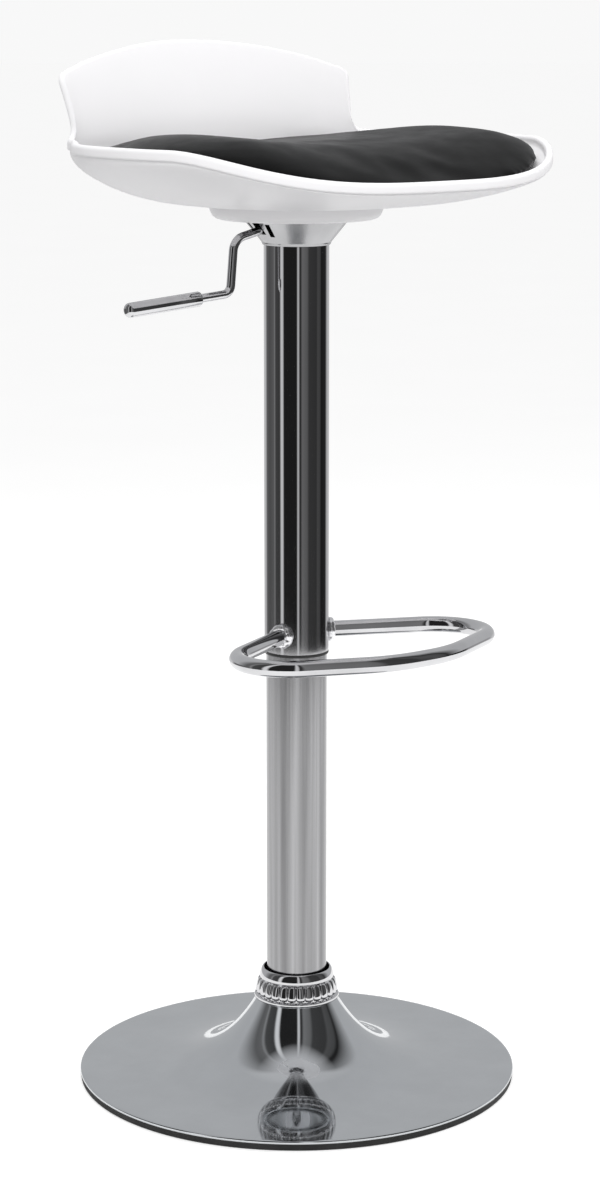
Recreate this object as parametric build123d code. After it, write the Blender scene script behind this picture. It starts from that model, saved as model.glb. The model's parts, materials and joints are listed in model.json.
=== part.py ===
from build123d import *
import math
import os

# An adjustable swivel stool, in millimetres.
# The origin is at the centre of the floor contact, on the column's axis, with +Z up.
# The sitter faces -Y. The model stands at its greatest height.

# ---- driving dimensions -------------------------------------------------------------

BASE_RADIUS = 207.5
BASE_SHEET = 2.5
BASE_RIM_TOP = 9.0
BASE_SKIRT_BOTTOM = 3.6
BASE_NECK_RADIUS = 38.6
BASE_NECK_TOP = 75.0
BASE_DISC_RISE = 4.0
BASE_FLARE_POWER = 4.6
RING_INNER_RADIUS = 196.0

COLLAR_RADIUS = 40.0
COLLAR_BOTTOM = 75.2
COLLAR_TOP = 105.0
COLLAR_RIBS = 30

COLUMN_RADIUS = 28.4
COLUMN_WALL = 2.0
COLUMN_BOTTOM = 18.0
COLUMN_TOP = 540.0
BUSH_BOTTOM = 440.0

TUBE_RADIUS = 30.0
TUBE_WALL = 1.0
TUBE_BOTTOM = 414.0
TUBE_TOP = 792.0

CYLINDER_RADIUS = 14.0
CYLINDER_BORE = 12.5
CYLINDER_BOTTOM = 440.0
CYLINDER_TOP = 806.0
TAPER_BOTTOM = 768.0
TAPER_TOP_RADIUS = 13.0
ROD_RADIUS = 5.0
ROD_BOTTOM = 70.0
PISTON_BOTTOM = 457.0
PISTON_TOP = 467.0
RUNNING_CLEARANCE = 0.05
GAP = 0.3

BEARING_CENTRE_Z = 93.0
BALL_RADIUS = 2.0
BALL_CIRCLE = 9.5
BALL_COUNT = 12
RACE_THICKNESS = 4.0
RACE_OUTER = 13.0

CONE_TOP_RADIUS = 57.5
CONE_TOP = 825.8
CONE_WALL = 2.0
SLOT_SPREAD = 17.0
PLATE_BOTTOM = 825.8
PLATE_SIDE = 108.0
PLATE_THICKNESS = 3.0
BOLT_OFFSET = 46.0

LEVER_RADIUS = 4.0
LEVER_PIVOT_X = -24.0
LEVER_PIVOT_Z = 820.5
GRIP_RADIUS = 6.75
VALVE_PIN_TOP = 815.7

FOOTREST_RADIUS = 7.5
FOOTREST_Z = 432.0
FOOTREST_TILT = 1.5
FOOTREST_HALF_WIDTH = 131.0
FOOTREST_REACH = 180.0

SHELL_WALL = 4.0
SHELL_FLOOR = 829.0
SHELL_FLOOR_RADIUS = 80.0
SEAT_HALF_WIDTH = 221.0
SEAT_FRONT = 207.0
SEAT_REAR = 147.0
SEAT_WAIST = 3.0
BOWL_FRONT = 849.5
BOWL_SIDE = 877.5
RIM_HEIGHT = 9.5
BACK_INSET = 0.4
BACK_REACH = 178.0
BACK_TOP = 971.0
BACK_TOP_SLOPE = 0.62
BACK_VERTICAL_FROM = 893.0
BOSS_BOTTOM = 815.5
BOSS_BOTTOM_RADIUS = 71.0
PAD_INSET = 9.5
PAD_COVER = 1.5
PAD_EDGE = 8.0
BOARD_RADIUS = 77.5
BOARD_THICKNESS = 4.0
BOARD_BOTTOM = SHELL_FLOOR + SHELL_WALL + 0.2


# ---- helpers ------------------------------------------------------------------------

def ring(outer, inner, bottom, top):
    """A plain tube or washer on the column's axis."""
    body = Cylinder(outer, top - bottom, align=(Align.CENTER, Align.CENTER, Align.MIN))
    hole = Cylinder(inner, top - bottom, align=(Align.CENTER, Align.CENTER, Align.MIN))
    return Pos(0, 0, bottom) * (body - hole)


def disc(radius, bottom, top):
    """A plain round bar on the column's axis."""
    return Pos(0, 0, bottom) * Cylinder(radius, top - bottom, align=(Align.CENTER, Align.CENTER, Align.MIN))


def turned(points):
    """The solid of revolution of a closed (radius, height) outline about the column's axis."""
    outline = Polyline(*[(r, 0, z) for r, z in points], close=True)
    return revolve(make_face(outline), Axis.Z)


def rod_along(points, radii, radius):
    """A round bar that follows a path with rounded corners."""
    path = FilletPolyline(*points, radius=radii)
    section = Plane(origin=path @ 0, z_dir=path % 0) * Circle(radius)
    return sweep(section, path=path)


# ---- base ---------------------------------------------------------------------------

def base_height(radius):
    """Height of the base's outer surface: a nearly flat disc that flares up into a neck."""
    share = (BASE_RADIUS - 0.5 - radius) / (BASE_RADIUS - 0.5 - BASE_NECK_RADIUS)
    share = max(0.0, share)
    flare = BASE_NECK_TOP - BASE_RIM_TOP - BASE_DISC_RISE
    return BASE_RIM_TOP + BASE_DISC_RISE * share + flare * share ** BASE_FLARE_POWER


def base_curve(offset):
    """Points along the base's surface, from the neck out, moved inwards by offset."""
    radii = [BASE_NECK_RADIUS, 42, 47, 54, 64, 78, 98, 125, 160, 188, BASE_RADIUS - 5]
    points = []
    for radius in radii:
        slope = (base_height(radius + 0.5) - base_height(radius - 0.5))
        length = math.hypot(1, slope)
        points.append((radius + offset * slope / length, 0, base_height(radius) - offset / length))
    return points


def make_base_plate():
    outer = base_curve(0)
    inner = base_curve(BASE_SHEET)
    corner = BASE_RADIUS - 5
    skirt_outer = [outer[-1], (BASE_RADIUS - 1.2, 0, BASE_RIM_TOP - 1.2), (BASE_RADIUS, 0, BASE_RIM_TOP - 3)]
    skirt_inner = [(BASE_RADIUS - 1.5, 0, BASE_SKIRT_BOTTOM), (BASE_RADIUS - 1.5, 0, BASE_RIM_TOP - 3.2)]
    outline = [
        Spline(*outer),
        Polyline(*skirt_outer, (BASE_RADIUS, 0, BASE_SKIRT_BOTTOM), *skirt_inner, (corner, 0, inner[-1][2])),
        Line((corner, 0, inner[-1][2]), inner[-1]) if abs(inner[-1][0] - corner) > 1e-6 else None,
        Spline(*reversed(inner)),
        Line(inner[0], outer[0]),
    ]
    wire = Wire([e for part in outline if part is not None for e in part.edges()])
    return revolve(Face(wire), Axis.Z)


def make_base_rubber_ring():
    outer = BASE_RADIUS - 1.6
    return turned([
        (RING_INNER_RADIUS, 0), (outer - 1.5, 0), (outer - 0.6, 1), (outer - 0.6, 3.4),
        (outer, 3.4), (outer, 5.4), (RING_INNER_RADIUS + 4, 5.4), (RING_INNER_RADIUS, 3),
    ])


def make_base_socket():
    cup = ring(COLUMN_RADIUS + 3.1, COLUMN_RADIUS, COLUMN_BOTTOM, 72)
    return cup + ring(COLUMN_RADIUS + 3.1, 8.4, COLUMN_BOTTOM - 4, COLUMN_BOTTOM)


def make_base_stiffener():
    return turned([
        (COLUMN_RADIUS + 3.1, 14), (86, 14), (90, 18), (90, 20), (87, 20), (84, 17), (COLUMN_RADIUS + 3.1, 17),
    ])


def make_base_nut():
    hexagon = RegularPolygon(13.8, 6) - Circle(8)
    return Pos(0, 0, 3) * extrude(hexagon, 8.5)


def make_base_washer():
    return ring(20, 8.4, 11.5, 14)


def make_column_collar():
    """A ribbed trim ring that stands on the base's neck and covers the joint of column and base."""
    rib_root = COLLAR_RADIUS - 3.0
    spigot = BASE_NECK_RADIUS - 3.2
    body = turned([
        (COLUMN_RADIUS + 3.0, COLLAR_TOP - 3), (COLUMN_RADIUS + 4.4, COLLAR_TOP),
        (COLLAR_RADIUS - 4.5, COLLAR_TOP), (COLLAR_RADIUS - 2.6, COLLAR_TOP - 1.6),
        (COLLAR_RADIUS - 2.2, COLLAR_TOP - 5), (rib_root, COLLAR_TOP - 7), (rib_root, COLLAR_BOTTOM + 6),
        (COLLAR_RADIUS - 0.6, COLLAR_BOTTOM + 5), (COLLAR_RADIUS, COLLAR_BOTTOM + 3),
        (COLLAR_RADIUS - 0.4, COLLAR_BOTTOM), (spigot, COLLAR_BOTTOM), (spigot, COLLAR_BOTTOM - 5),
        (spigot - 2, COLLAR_BOTTOM - 5), (spigot - 2, COLLAR_TOP - 6), (COLUMN_RADIUS + 3.0, COLLAR_TOP - 6),
    ])
    length = COLLAR_TOP - COLLAR_BOTTOM - 11
    rib = Pos(rib_root + 0.1, 0, COLLAR_BOTTOM + 5.2) * Cylinder(
        2.3, length, align=(Align.CENTER, Align.CENTER, Align.MIN))
    ribs = [Rot(0, 0, 360 * i / COLLAR_RIBS) * rib for i in range(COLLAR_RIBS)]
    return body + [r - disc(spigot - 1, COLLAR_BOTTOM, COLLAR_TOP) for r in ribs]


# ---- column and gas lift ------------------------------------------------------------

def make_lower_column():
    return ring(COLUMN_RADIUS, COLUMN_RADIUS - COLUMN_WALL, COLUMN_BOTTOM, COLUMN_TOP)


def make_column_foot():
    """The welded plug at the column's end, with the stud that the base nut holds."""
    return disc(COLUMN_RADIUS - COLUMN_WALL, COLUMN_BOTTOM, 44) + disc(8, 3.4, COLUMN_BOTTOM)


def make_column_seat_disc():
    """The disc that carries the thrust bearing and the rod's end."""
    top = BEARING_CENTRE_Z - 1 - RACE_THICKNESS
    return ring(COLUMN_RADIUS - COLUMN_WALL, ROD_RADIUS + RUNNING_CLEARANCE, top - 6, top)


def make_column_guide_bush():
    """The nylon bush that guides the gas cylinder in the top of the lower column."""
    bore = CYLINDER_RADIUS + RUNNING_CLEARANCE
    body = ring(COLUMN_RADIUS - COLUMN_WALL, bore, BUSH_BOTTOM, COLUMN_TOP)
    cap = ring(COLUMN_RADIUS - 0.2, bore, COLUMN_TOP, COLUMN_TOP + 4)
    relief = ring(COLUMN_RADIUS - COLUMN_WALL, 19, BUSH_BOTTOM + 20, COLUMN_TOP - 25)
    webs = [Rot(0, 0, 60 * i) * Pos(21.9, 0, BUSH_BOTTOM + 17) * Box(
        8.0, 3, COLUMN_TOP - BUSH_BOTTOM - 39, align=(Align.CENTER, Align.CENTER, Align.MIN)) for i in range(6)]
    return body - relief + cap + webs


def race_groove():
    """The track that the bearing's balls run in."""
    return Pos(0, 0, BEARING_CENTRE_Z) * Torus(BALL_CIRCLE, BALL_RADIUS + RUNNING_CLEARANCE)


def make_bearing_lower_race():
    bottom = BEARING_CENTRE_Z - 1 - RACE_THICKNESS
    return ring(RACE_OUTER, ROD_RADIUS + 0.6, bottom, bottom + RACE_THICKNESS) - race_groove()


def make_bearing_upper_race():
    bottom = BEARING_CENTRE_Z + 1
    return ring(RACE_OUTER, ROD_RADIUS, bottom, bottom + RACE_THICKNESS) - race_groove()


def ball_places():
    return [Rot(0, 0, 360 * i / BALL_COUNT) * Pos(BALL_CIRCLE, 0, BEARING_CENTRE_Z) for i in range(BALL_COUNT)]


def make_bearing_balls():
    return Compound([place * Sphere(BALL_RADIUS) for place in ball_places()])


def make_bearing_cage():
    cage = ring(BALL_CIRCLE + 2.8, BALL_CIRCLE - 2.8, BEARING_CENTRE_Z - 0.5, BEARING_CENTRE_Z + 0.5)
    return cage - [place * Sphere(BALL_RADIUS + 0.03) for place in ball_places()]


def make_piston_rod():
    rod = disc(ROD_RADIUS, ROD_BOTTOM, PISTON_TOP + 6)
    clip_groove = ring(ROD_RADIUS + 1, ROD_RADIUS - 1, ROD_BOTTOM + 5, ROD_BOTTOM + 6.5)
    return rod - clip_groove


def make_rod_washer():
    top = BEARING_CENTRE_Z - 1 - RACE_THICKNESS - 6 - GAP
    return ring(10, ROD_RADIUS, ROD_BOTTOM + 6.6, top)


def make_rod_clip():
    """A split retaining ring that sits in the rod's groove."""
    clip = ring(ROD_RADIUS + 3, ROD_RADIUS - 1, ROD_BOTTOM + 5.1, ROD_BOTTOM + 6.4)
    return clip - Pos(ROD_RADIUS, 0, ROD_BOTTOM + 6) * Box(8, 4, 4)


def make_rod_collar():
    top_of_race = BEARING_CENTRE_Z + 1 + RACE_THICKNESS
    return ring(9, ROD_RADIUS, top_of_race, top_of_race + 5)


def make_bump_stop():
    """The rubber buffer that the cylinder would meet at the bottom of its travel."""
    bottom = BEARING_CENTRE_Z + 1 + RACE_THICKNESS + 5
    return turned([
        (ROD_RADIUS, bottom), (12, bottom), (12, bottom + 6), (10, bottom + 9), (12, bottom + 12),
        (12, bottom + 18), (9, bottom + 24), (ROD_RADIUS, bottom + 24),
    ])


def make_piston_head():
    seal_groove = ring(CYLINDER_BORE + 1, CYLINDER_BORE - 2.6, PISTON_BOTTOM + 3, PISTON_BOTTOM + 7)
    return ring(CYLINDER_BORE - 0.4, ROD_RADIUS, PISTON_BOTTOM, PISTON_TOP) - seal_groove


def make_piston_seal():
    outer = CYLINDER_BORE - RUNNING_CLEARANCE
    return ring(outer, CYLINDER_BORE - 2.6, PISTON_BOTTOM + 3.1, PISTON_BOTTOM + 6.9)


def make_gas_cylinder():
    outside = turned([
        (0, CYLINDER_BOTTOM), (CYLINDER_RADIUS, CYLINDER_BOTTOM), (CYLINDER_RADIUS, TAPER_BOTTOM),
        (TAPER_TOP_RADIUS, CYLINDER_TOP), (0, CYLINDER_TOP),
    ])
    bore = disc(CYLINDER_BORE, CYLINDER_BOTTOM, TAPER_BOTTOM)
    top_bore = turned([
        (0, TAPER_BOTTOM), (CYLINDER_BORE, TAPER_BOTTOM), (TAPER_TOP_RADIUS - 2.4, CYLINDER_TOP - 6),
        (8, CYLINDER_TOP - 6), (8, CYLINDER_TOP), (0, CYLINDER_TOP),
    ])
    return outside - bore - top_bore


def make_cylinder_end_gland():
    outer = CYLINDER_BORE
    return ring(outer, ROD_RADIUS + RUNNING_CLEARANCE, CYLINDER_BOTTOM + 1, CYLINDER_BOTTOM + 14)


def make_valve_body():
    """The release valve in the cylinder's top, with the bore that its pin slides in."""
    shell = turned([
        (0, 776), (9.5, 776), (9.5, CYLINDER_TOP - 6.2), (7.9, CYLINDER_TOP - 6.2), (7.9, CYLINDER_TOP + 1.5),
        (0, CYLINDER_TOP + 1.5),
    ])
    return shell - disc(LEVER_RADIUS + RUNNING_CLEARANCE, 789, CYLINDER_TOP + 1.5)


def make_valve_pin():
    return turned([
        (0, 793), (4, 793), (4, VALVE_PIN_TOP - 1), (3, VALVE_PIN_TOP), (0, VALVE_PIN_TOP),
    ])


# ---- upper tube and housing ---------------------------------------------------------

def make_upper_tube():
    return ring(TUBE_RADIUS, TUBE_RADIUS - TUBE_WALL, TUBE_BOTTOM, TUBE_TOP)


def make_tube_glide_ring():
    """The plastic glide in the tube's lower end, with a lip that shows under the tube."""
    bore = COLUMN_RADIUS + RUNNING_CLEARANCE
    return ring(TUBE_RADIUS, bore, TUBE_BOTTOM - 2, TUBE_BOTTOM) + ring(
        TUBE_RADIUS - TUBE_WALL, bore, TUBE_BOTTOM, TUBE_BOTTOM + 26)


def make_taper_socket():
    """The tapered sleeve, with a web welded inside the tube, that the gas cylinder sits in."""
    inside = TUBE_RADIUS - TUBE_WALL
    return turned([
        (CYLINDER_RADIUS, TAPER_BOTTOM), (19, TAPER_BOTTOM), (19, 784), (inside, 784), (inside, 788),
        (19, 788), (19, CYLINDER_TOP), (TAPER_TOP_RADIUS, CYLINDER_TOP),
    ])


def cone_radius(z):
    return TUBE_RADIUS + (CONE_TOP_RADIUS - TUBE_RADIUS) * (z - TUBE_TOP) / (CONE_TOP - TUBE_TOP)


def make_swivel_cone():
    """The housing under the seat, with the lever's slot and two vent slots beside it."""
    inner_bottom = TUBE_RADIUS - TUBE_WALL
    cone = turned([
        (inner_bottom, TUBE_TOP), (TUBE_RADIUS + 1, TUBE_TOP), (TUBE_RADIUS + 1.6, TUBE_TOP + 1.2),
        (cone_radius(TUBE_TOP + 2.4), TUBE_TOP + 2.4), (CONE_TOP_RADIUS, CONE_TOP),
        (CONE_TOP_RADIUS - CONE_WALL, CONE_TOP), (inner_bottom, TUBE_TOP + 2),
    ])
    lever_slot = Pos(-45, 0, 808) * Rot(0, -50, 0) * Box(24, 10, 17)
    vent = Pos(-43, 0, 805) * Rot(0, -50, 0) * Box(20, 5, 15)
    vents = [Rot(0, 0, side * SLOT_SPREAD) * vent for side in (-1, 1)]
    return cone - lever_slot - vents


def bolt_places():
    return [(x, y) for x in (-BOLT_OFFSET, BOLT_OFFSET) for y in (-BOLT_OFFSET, BOLT_OFFSET)]


def bolt_group(make_one):
    """The same small piece at each of the seat's four bolts."""
    return Compound([Pos(x, y, 0) * make_one() for x, y in bolt_places()])


def bolt_holes(radius, bottom, top):
    return [Pos(x, y, 0) * disc(radius, bottom, top) for x, y in bolt_places()]


def make_seat_plate():
    outline = RectangleRounded(PLATE_SIDE, PLATE_SIDE, 8) - Circle(12)
    plate = Pos(0, 0, PLATE_BOTTOM) * extrude(outline, PLATE_THICKNESS)
    return plate - bolt_holes(3.2, PLATE_BOTTOM, PLATE_BOTTOM + PLATE_THICKNESS)


def make_lever_bracket():
    """Two ears under the seat plate that hold the lever's pivot pin."""
    ear = Box(16, 2, PLATE_BOTTOM - 814, align=(Align.CENTER, Align.CENTER, Align.MIN))
    pin_hole = Rot(90, 0, 0) * Cylinder(2.0, 40)
    ears = [Pos(LEVER_PIVOT_X, side * 6.5, 814) * ear for side in (-1, 1)]
    return Compound([e - Pos(LEVER_PIVOT_X, 0, LEVER_PIVOT_Z) * pin_hole for e in ears])


def make_lever_pivot_pin():
    shank = Rot(90, 0, 0) * Cylinder(2.0, 15)
    heads = [Pos(0, side * 8.5, 0) * Rot(90, 0, 0) * Cylinder(3.2, 2) for side in (-1, 1)]
    return Pos(LEVER_PIVOT_X, 0, LEVER_PIVOT_Z) * (shank + heads)


def make_seat_bolts():
    head_bottom = PLATE_BOTTOM - 1.6 - 4
    return bolt_group(lambda: disc(5, head_bottom, head_bottom + 4) + disc(3, head_bottom + 4, 837.6))


def make_seat_washers():
    return bolt_group(lambda: ring(7, 3.2, PLATE_BOTTOM - 1.6, PLATE_BOTTOM))


def make_threaded_inserts():
    top = BOARD_BOTTOM + BOARD_THICKNESS
    return bolt_group(lambda: ring(4.6, 3.0, BOARD_BOTTOM, top) + ring(7.5, 3.0, top, top + 1))


# ---- lever --------------------------------------------------------------------------

LEVER_PATH = [
    (7, 0, LEVER_PIVOT_Z), (-27, 0, LEVER_PIVOT_Z), (-43, 0, 806), (-71, 0, 799.5), (-75.5, 0, 751.5),
    (-180, 0, 743.9),
]
LEVER_BENDS = [6, 9, 14, 9]


def make_lever_rod():
    rod = rod_along(LEVER_PATH, LEVER_BENDS, LEVER_RADIUS)
    return rod - Pos(LEVER_PIVOT_X, 0, LEVER_PIVOT_Z) * Rot(90, 0, 0) * Cylinder(2.0 + RUNNING_CLEARANCE, 20)


def make_lever_grip():
    """The thick sleeve on the lever's outer end, with a rounded tip."""
    elbow, tip = LEVER_PATH[-2:]
    drop = math.degrees(math.atan2(elbow[2] - tip[2], elbow[0] - tip[0]))
    bar = Cylinder(GRIP_RADIUS, 80, align=(Align.CENTER, Align.CENTER, Align.MIN))
    bar = fillet(bar.edges().group_by(Axis.Z)[-1], 4.5)
    bar = chamfer(bar.edges().group_by(Axis.Z)[0], 0.8)
    bar -= Cylinder(LEVER_RADIUS, 70.3, align=(Align.CENTER, Align.CENTER, Align.MIN))
    start_x = -110.0
    start_z = elbow[2] + (start_x - elbow[0]) * math.tan(math.radians(drop))
    return Pos(start_x, 0, start_z) * Rot(0, -90 - drop, 0) * bar


# ---- footrest -----------------------------------------------------------------------

def footrest_path():
    """Half of the loop's corners, as (sideways, forward), from the tube out to the front."""
    wide = FOOTREST_HALF_WIDTH
    reach = FOOTREST_REACH
    half = [(24, 10), (wide, 69), (wide, wide), (33, reach)]
    corners = [(x, -y, 0) for x, y in half] + [(-x, -y, 0) for x, y in reversed(half)]
    bends = [60, 50, 112]
    return corners, bends + bends[::-1]


def make_footrest_ring():
    corners, bends = footrest_path()
    loop = rod_along(corners, bends, FOOTREST_RADIUS)
    loop = Pos(0, 0, FOOTREST_Z) * Rot(FOOTREST_TILT * -1, 0, 0) * loop
    return loop - disc(TUBE_RADIUS, FOOTREST_Z - 30, FOOTREST_Z + 30)


def make_footrest_welds():
    """The two beads that join the footrest's ends to the tube."""
    corners, bends = footrest_path()
    rod = Pos(0, 0, FOOTREST_Z) * Rot(FOOTREST_TILT * -1, 0, 0) * rod_along(corners, bends, FOOTREST_RADIUS)
    tube = disc(TUBE_RADIUS, FOOTREST_Z - 30, FOOTREST_Z + 30)
    beads = []
    for side in (-1, 1):
        bead = Pos(side * 28.2, -13.6, FOOTREST_Z) * Sphere(10.2)
        beads.append(bead - tube - rod)
    return Compound([s for bead in beads for s in bead.solids()])


# ---- seat ---------------------------------------------------------------------------

def seat_radius(angle):
    """Plan radius of the seat at an angle from straight ahead, from two superellipse halves."""
    reach, power = (SEAT_FRONT - SEAT_WAIST, 2.55) if math.cos(angle) > 0 else (SEAT_REAR + SEAT_WAIST, 2.4)
    across = abs(math.sin(angle) / SEAT_HALF_WIDTH) ** power
    along = abs(math.cos(angle) / reach) ** power
    return (across + along) ** (-1 / power)


def bowl_height(forward):
    """Height where the bowl meets its upright rim: lowest in front, level from the middle back."""
    share = min(1.0, max(0.0, (SEAT_FRONT - forward) / 115.0))
    return BOWL_FRONT + (BOWL_SIDE - BOWL_FRONT) * (1 - (1 - share ** 1.3) ** 1.9)


def wall_point(angle, inset, height):
    """A point on the upright part of the shell, which leans out towards the top of the back."""
    lean = 0.105 * max(0.0, height - BACK_VERTICAL_FROM) ** 1.3
    radius = seat_radius(angle) + lean - inset
    return radius * math.sin(angle), -(SEAT_WAIST + radius * math.cos(angle)), height


def bowl_grid(angles, inset):
    """Rows of points over the bowl, from the flat floor out to the foot of the upright rim."""
    rows = []
    for share in (0.1, 0.4, 0.7):
        r = (SHELL_FLOOR_RADIUS - 0.4 * inset) * share
        rows.append([(r * math.sin(angle), r * math.cos(angle), SHELL_FLOOR + inset) for angle in angles])
    for step in range(9):
        turn = math.radians(90 * step / 8)
        row = []
        for angle in angles:
            radius = seat_radius(angle) - inset
            start = SHELL_FLOOR_RADIUS - 0.4 * inset
            floor = SHELL_FLOOR + inset
            top = bowl_height(SEAT_WAIST + seat_radius(angle) * math.cos(angle))
            rear = (1 - math.cos(angle)) / 2
            share = (1 - rear) * math.sin(turn) ** 2.2 + rear * (1 - math.cos(turn))
            r = start + (radius - start) * math.sin(turn)
            z = floor + (top - floor) * share
            row.append((r * math.sin(angle), SEAT_WAIST * math.sin(turn) + r * math.cos(angle), z))
        rows.append(row)
    return rows


def shell_grid(angles, inset):
    """Rows of points over the bowl and then up its rim."""
    rows = bowl_grid(angles, inset)
    return rows + [[(x, forward, z + RIM_HEIGHT) for x, forward, z in rows[-1]]]


def surface(rows, side):
    """A smooth face through rows of (sideways, forward, height) points, on one side of the seat."""
    return Face.make_surface_from_array_of_points(
        [[Vector(side * x, -forward, z) for x, forward, z in row] for row in rows], tol=0.02)


def edge_near(face, point, side):
    """The edge of a face that passes through a point of the seat."""
    spot = Vertex(side * point[0], -point[1], point[2])
    return min(face.edges(), key=lambda e: e.distance_to(spot))


def closed_form(upper, lower):
    """A solid between two surfaces, each with a flat middle, joined round their outer edges."""
    faces = []
    middles = [[], []]
    for side in (1, -1):
        outer_edges = []
        for which, rows in enumerate((upper, lower)):
            sheet = surface(rows, side)
            faces.append(sheet)
            centre = len(rows[0]) // 2
            middles[which].append(edge_near(sheet, rows[0][centre], side))
            outer_edges.append(edge_near(sheet, rows[-1][centre], side))
        faces.append(Face.make_surface_from_curves(*outer_edges))
    faces += [Face(Wire(edges)) for edges in middles]
    return Solid(Shell(faces))


SIDE_ANGLES = [math.radians(12 * i) for i in range(16)]


def back_section(height):
    """The back's cross-section at one height: a thin band round the rear of the seat."""
    angles = [math.radians(100 + 8 * i) for i in range(21)]
    outer = [wall_point(a, BACK_INSET, height) for a in angles]
    inner = [wall_point(a, SHELL_WALL - BACK_INSET, height) for a in reversed(angles)]
    return make_face([Spline(*outer), Line(outer[-1], inner[0]), Spline(*inner), Line(inner[-1], outer[0])])


def back_outline():
    """The space that the back fills seen from the side: sloping top, rounded corner and hollow waist."""
    top_front = (0, 132, BACK_TOP - BACK_TOP_SLOPE * (BACK_REACH - 132))
    rear = BACK_REACH + 20
    edge = FilletPolyline(
        (0, 40, 884), (0, 104, 884), top_front, (0, rear, BACK_TOP + BACK_TOP_SLOPE * 20), radius=[24, 12])
    closing = Polyline(edge @ 1, (0, rear, 840), (0, 40, 840), edge @ 0)
    return extrude(make_face([edge, closing]), 300, both=True)


def make_back():
    levels = [878, BACK_VERTICAL_FROM, 912, 935, 958, 990]
    return loft([back_section(z) for z in levels], ruled=True) & back_outline()


def make_boss():
    """The skirt under the shell that hides the seat plate."""
    return turned([
        (SHELL_FLOOR_RADIUS, SHELL_FLOOR + 2), (SHELL_FLOOR_RADIUS, SHELL_FLOOR), (SHELL_FLOOR_RADIUS - 1, 823.5),
        (BOSS_BOTTOM_RADIUS + 4.5, 817.8), (BOSS_BOTTOM_RADIUS, BOSS_BOTTOM), (BOSS_BOTTOM_RADIUS - 3.5, BOSS_BOTTOM),
        (BOSS_BOTTOM_RADIUS + 1.5, 819), (SHELL_FLOOR_RADIUS - 4, 823.5), (SHELL_FLOOR_RADIUS - 4, SHELL_FLOOR + 2),
    ])


def make_seat_shell():
    shell = closed_form(shell_grid(SIDE_ANGLES, SHELL_WALL), shell_grid(SIDE_ANGLES, 0))
    shell = shell + make_boss() + make_back()
    return shell - bolt_holes(4.0, SHELL_FLOOR, SHELL_FLOOR + SHELL_WALL + 1)


def pad_height(x, forward):
    """Height of the cushion's top: crowned, a little higher to the sides than in the middle."""
    angle = math.atan2(abs(x), forward - SEAT_WAIST)
    share = min(1.0, math.hypot(x, forward - SEAT_WAIST) / (seat_radius(angle) - PAD_INSET))
    crown = 14.0 * (1 - share ** 4) * (0.4 + 0.6 * min(1.0, (x / 150.0) ** 2))
    return bowl_height(forward) + PAD_EDGE + crown


def pad_top_grid(angles, drop, inset):
    """Rows of points over the cushion, from a small flat middle out to its edge."""
    rows = []
    for share in (0.08, 0.2, 0.35, 0.5, 0.65, 0.78, 0.88, 0.95, 1.0):
        row = []
        for angle in angles:
            radius = (seat_radius(angle) - inset) * share
            x = radius * math.sin(angle)
            forward = SEAT_WAIST + radius * math.cos(angle)
            height = pad_height(0, SEAT_WAIST) if share == 0.08 else pad_height(x, forward)
            row.append((x, forward, height - drop))
        rows.append(row)
    return rows


def make_cushion_board():
    """The round board under the foam, which takes the seat's bolts."""
    board = disc(BOARD_RADIUS, BOARD_BOTTOM, BOARD_BOTTOM + BOARD_THICKNESS)
    return board - bolt_holes(4.6, BOARD_BOTTOM, BOARD_BOTTOM + BOARD_THICKNESS)


def make_cushion_cover():
    return closed_form(
        pad_top_grid(SIDE_ANGLES, 0, PAD_INSET), pad_top_grid(SIDE_ANGLES, PAD_COVER, PAD_INSET + GAP))


def make_cushion_foam():
    top = pad_top_grid(SIDE_ANGLES, PAD_COVER + GAP, PAD_INSET)
    bottom = bowl_grid(SIDE_ANGLES, PAD_INSET)
    return closed_form(top, bottom)


# ---- every piece, by name -----------------------------------------------------------

PIECES = {
    "base_plate": make_base_plate,
    "base_rubber_ring": make_base_rubber_ring,
    "base_socket": make_base_socket,
    "base_stiffener": make_base_stiffener,
    "base_nut": make_base_nut,
    "base_washer": make_base_washer,
    "column_collar": make_column_collar,
    "lower_column": make_lower_column,
    "column_foot": make_column_foot,
    "column_seat_disc": make_column_seat_disc,
    "column_guide_bush": make_column_guide_bush,
    "bearing_lower_race": make_bearing_lower_race,
    "bearing_balls": make_bearing_balls,
    "bearing_cage": make_bearing_cage,
    "bearing_upper_race": make_bearing_upper_race,
    "piston_rod": make_piston_rod,
    "rod_washer": make_rod_washer,
    "rod_clip": make_rod_clip,
    "rod_collar": make_rod_collar,
    "bump_stop": make_bump_stop,
    "piston_head": make_piston_head,
    "piston_seal": make_piston_seal,
    "gas_cylinder": make_gas_cylinder,
    "cylinder_end_gland": make_cylinder_end_gland,
    "valve_body": make_valve_body,
    "valve_pin": make_valve_pin,
    "upper_tube": make_upper_tube,
    "tube_glide_ring": make_tube_glide_ring,
    "taper_socket": make_taper_socket,
    "swivel_cone": make_swivel_cone,
    "seat_plate": make_seat_plate,
    "lever_bracket": make_lever_bracket,
    "lever_pivot_pin": make_lever_pivot_pin,
    "seat_bolts": make_seat_bolts,
    "seat_washers": make_seat_washers,
    "threaded_inserts": make_threaded_inserts,
    "lever_rod": make_lever_rod,
    "lever_grip": make_lever_grip,
    "footrest_ring": make_footrest_ring,
    "footrest_welds": make_footrest_welds,
    "seat_shell": make_seat_shell,
    "cushion_board": make_cushion_board,
    "cushion_foam": make_cushion_foam,
    "cushion_cover": make_cushion_cover,
}

os.makedirs("parts", exist_ok=True)
for name, make in PIECES.items():
    export_step(make(), f"parts/{name}.step")
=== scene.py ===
"""The adjustable swivel stool's looks: smooth chrome, a moulded white shell and a simulated black pad."""

import json
import math

import bmesh
import bpy
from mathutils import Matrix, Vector, noise


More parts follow.
